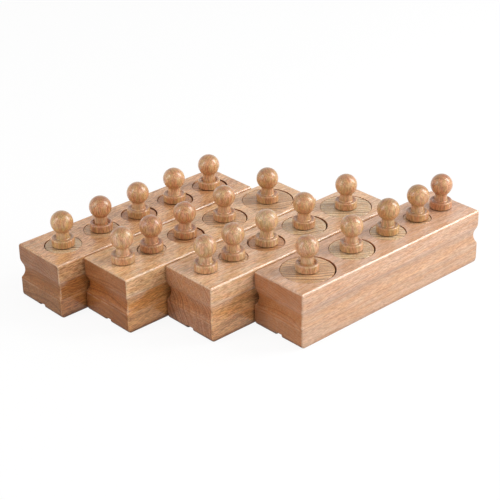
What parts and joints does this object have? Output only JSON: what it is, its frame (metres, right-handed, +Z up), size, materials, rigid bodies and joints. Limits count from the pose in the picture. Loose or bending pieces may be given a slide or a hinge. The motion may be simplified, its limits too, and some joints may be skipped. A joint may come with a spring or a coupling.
{
  "type": "knobbed cylinder block set",
  "caption": "Long wooden blocks side by side, each with knobbed cylinders graded in size that lift out of blind holes, and a shallow finger groove all round.",
  "frame": {"origin": "on the ground, at the middle of the footprint of the four blocks as they stand in the picture", "axes": "+Z up, +Y along the blocks from their near ends to their far ends, +X across the blocks from block 1 to block 4"},
  "size_m": [0.2046, 0.2918, 0.0727],
  "materials": {
    "upper_board_wood": "satin clear lacquer, pale beech, fine lengthwise grain",
    "aged_board_wood": "satin clear lacquer, browner beech, fine lengthwise grain",
    "lower_board_wood": "satin clear lacquer, darker beech, fine lengthwise grain",
    "front_board_wood": "satin clear lacquer, pinkish beech, fine lengthwise grain",
    "cylinder_wood": "satin clear lacquer, end grain on the tops",
    "knob_wood": "clear lacquer, turned beech with upright grain"
  },
  "bodies": {
    "block_1": {"block_1_upper_board": "aged_board_wood", "block_1_lower_board": "lower_board_wood"},
    "block_1_insert_1": {"block_1_cylinder_1": "cylinder_wood", "block_1_knob_1": "knob_wood"},
    "block_1_insert_2": {"block_1_cylinder_2": "cylinder_wood", "block_1_knob_2": "knob_wood"},
    "block_1_insert_3": {"block_1_cylinder_3": "cylinder_wood", "block_1_knob_3": "knob_wood"},
    "block_1_insert_4": {"block_1_cylinder_4": "cylinder_wood", "block_1_knob_4": "knob_wood"},
    "block_1_insert_5": {"block_1_cylinder_5": "cylinder_wood", "block_1_knob_5": "knob_wood"},
    "block_2": {"block_2_upper_board": "upper_board_wood", "block_2_lower_board": "lower_board_wood"},
    "block_2_insert_1": {"block_2_cylinder_1": "cylinder_wood", "block_2_knob_1": "knob_wood"},
    "block_2_insert_2": {"block_2_cylinder_2": "cylinder_wood", "block_2_knob_2": "knob_wood"},
    "block_2_insert_3": {"block_2_cylinder_3": "cylinder_wood", "block_2_knob_3": "knob_wood"},
    "block_2_insert_4": {"block_2_cylinder_4": "cylinder_wood", "block_2_knob_4": "knob_wood"},
    "block_2_insert_5": {"block_2_cylinder_5": "cylinder_wood", "block_2_knob_5": "knob_wood"},
    "block_3": {"block_3_upper_board": "upper_board_wood", "block_3_lower_board": "lower_board_wood"},
    "block_3_insert_1": {"block_3_cylinder_1": "cylinder_wood", "block_3_knob_1": "knob_wood"},
    "block_3_insert_2": {"block_3_cylinder_2": "cylinder_wood", "block_3_knob_2": "knob_wood"},
    "block_3_insert_3": {"block_3_cylinder_3": "cylinder_wood", "block_3_knob_3": "knob_wood"},
    "block_3_insert_4": {"block_3_cylinder_4": "cylinder_wood", "block_3_knob_4": "knob_wood"},
    "block_3_insert_5": {"block_3_cylinder_5": "cylinder_wood", "block_3_knob_5": "knob_wood"},
    "block_4": {"block_4_upper_board": "upper_board_wood", "block_4_lower_board": "front_board_wood"},
    "block_4_insert_1": {"block_4_cylinder_1": "cylinder_wood", "block_4_knob_1": "knob_wood"},
    "block_4_insert_2": {"block_4_cylinder_2": "cylinder_wood", "block_4_knob_2": "knob_wood"},
    "block_4_insert_3": {"block_4_cylinder_3": "cylinder_wood", "block_4_knob_3": "knob_wood"},
    "block_4_insert_4": {"block_4_cylinder_4": "cylinder_wood", "block_4_knob_4": "knob_wood"},
    "block_4_insert_5": {"block_4_cylinder_5": "cylinder_wood", "block_4_knob_5": "knob_wood"}
  },
  "joints": [
    {"name": "block_1_insert_1_lift", "type": "slide", "parent": "block_1", "child": "block_1_insert_1", "axis": [0, 0, 1], "range_m": [0, 0.01716]},
    {"name": "block_1_insert_2_lift", "type": "slide", "parent": "block_1", "child": "block_1_insert_2", "axis": [0, 0, 1], "range_m": [0, 0.02371]},
    {"name": "block_1_insert_3_lift", "type": "slide", "parent": "block_1", "child": "block_1_insert_3", "axis": [0, 0, 1], "range_m": [0, 0.03075]},
    {"name": "block_1_insert_4_lift", "type": "slide", "parent": "block_1", "child": "block_1_insert_4", "axis": [0, 0, 1], "range_m": [0, 0.03707]},
    {"name": "block_1_insert_5_lift", "type": "slide", "parent": "block_1", "child": "block_1_insert_5", "axis": [0, 0, 1], "range_m": [0, 0.04362]},
    {"name": "block_2_slide", "type": "slide", "parent": "block_1", "child": "block_2", "axis": [0, 1, 0], "range_m": [-0.0224, 0.1711]},
    {"name": "block_2_insert_1_lift", "type": "slide", "parent": "block_2", "child": "block_2_insert_1", "axis": [0, 0, 1], "range_m": [0, 0.0429]},
    {"name": "block_2_insert_2_lift", "type": "slide", "parent": "block_2", "child": "block_2_insert_2", "axis": [0, 0, 1], "range_m": [0, 0.04314]},
    {"name": "block_2_insert_3_lift", "type": "slide", "parent": "block_2", "child": "block_2_insert_3", "axis": [0, 0, 1], "range_m": [0, 0.04354]},
    {"name": "block_2_insert_4_lift", "type": "slide", "parent": "block_2", "child": "block_2_insert_4", "axis": [0, 0, 1], "range_m": [0, 0.04314]},
    {"name": "block_2_insert_5_lift", "type": "slide", "parent": "block_2", "child": "block_2_insert_5", "axis": [0, 0, 1], "range_m": [0, 0.04322]},
    {"name": "block_3_slide", "type": "slide", "parent": "block_1", "child": "block_3", "axis": [0, 1, 0], "range_m": [-0.058, 0.1355]},
    {"name": "block_3_insert_1_lift", "type": "slide", "parent": "block_3", "child": "block_3_insert_1", "axis": [0, 0, 1], "range_m": [0, 0.017]},
    {"name": "block_3_insert_2_lift", "type": "slide", "parent": "block_3", "child": "block_3_insert_2", "axis": [0, 0, 1], "range_m": [0, 0.02363]},
    {"name": "block_3_insert_3_lift", "type": "slide", "parent": "block_3", "child": "block_3_insert_3", "axis": [0, 0, 1], "range_m": [0, 0.03075]},
    {"name": "block_3_insert_4_lift", "type": "slide", "parent": "block_3", "child": "block_3_insert_4", "axis": [0, 0, 1], "range_m": [0, 0.03674]},
    {"name": "block_3_insert_5_lift", "type": "slide", "parent": "block_3", "child": "block_3_insert_5", "axis": [0, 0, 1], "range_m": [0, 0.04306]},
    {"name": "block_4_slide", "type": "slide", "parent": "block_1", "child": "block_4", "axis": [0, 1, 0], "range_m": [-0.0983, 0.0952]},
    {"name": "block_4_insert_1_lift", "type": "slide", "parent": "block_4", "child": "block_4_insert_1", "axis": [0, 0, 1], "range_m": [0, 0.01716]},
    {"name": "block_4_insert_2_lift", "type": "slide", "parent": "block_4", "child": "block_4_insert_2", "axis": [0, 0, 1], "range_m": [0, 0.02363]},
    {"name": "block_4_insert_3_lift", "type": "slide", "parent": "block_4", "child": "block_4_insert_3", "axis": [0, 0, 1], "range_m": [0, 0.03019]},
    {"name": "block_4_insert_4_lift", "type": "slide", "parent": "block_4", "child": "block_4_insert_4", "axis": [0, 0, 1], "range_m": [0, 0.03658]},
    {"name": "block_4_insert_5_lift", "type": "slide", "parent": "block_4", "child": "block_4_insert_5", "axis": [0, 0, 1], "range_m": [0, 0.0429]}
  ]
}
